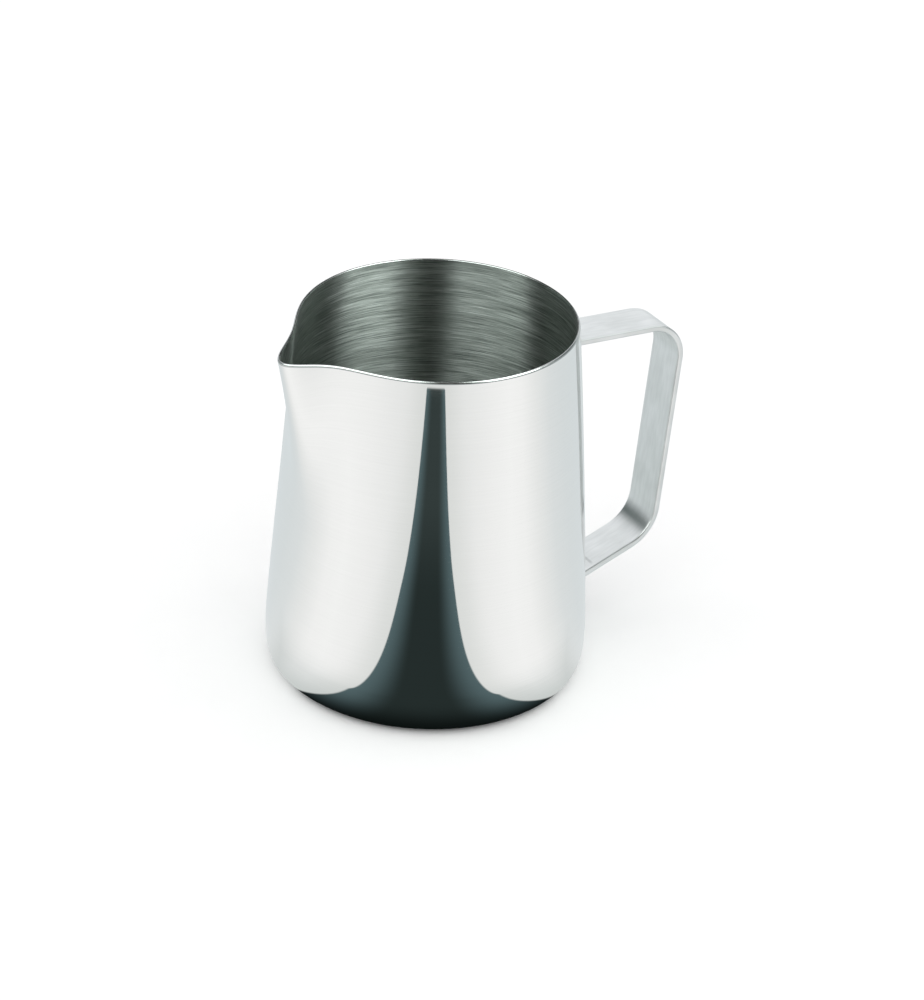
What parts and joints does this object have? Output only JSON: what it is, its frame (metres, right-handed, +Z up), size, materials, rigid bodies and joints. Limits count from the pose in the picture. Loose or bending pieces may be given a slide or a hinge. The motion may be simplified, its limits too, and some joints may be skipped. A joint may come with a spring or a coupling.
{
  "type": "milk frothing pitcher",
  "caption": "Tapered steel jug with a pressed pouring lip and a bent strap handle, for steaming, frothing and pouring milk.",
  "frame": {"origin": "centre of the flat base, on the surface that the pitcher stands on", "axes": "+Z up along the jug's axis, +X towards the handle, -X towards the pouring lip, Y across; symmetric about the XZ plane"},
  "size_m": [0.1317, 0.0944, 0.11],
  "materials": {
    "shell_steel": "stainless steel, mirror polished outside, brushed round the inside",
    "strap_steel": "stainless steel strip, satin with tumbled edges",
    "weld_steel": "stainless steel spot welds, matt grey with a faint heat tint"
  },
  "bodies": {
    "root": {"body_shell": "shell_steel", "handle_strap": "strap_steel", "upper_spot_welds": "weld_steel", "lower_spot_welds": "weld_steel"}
  },
  "joints": []
}
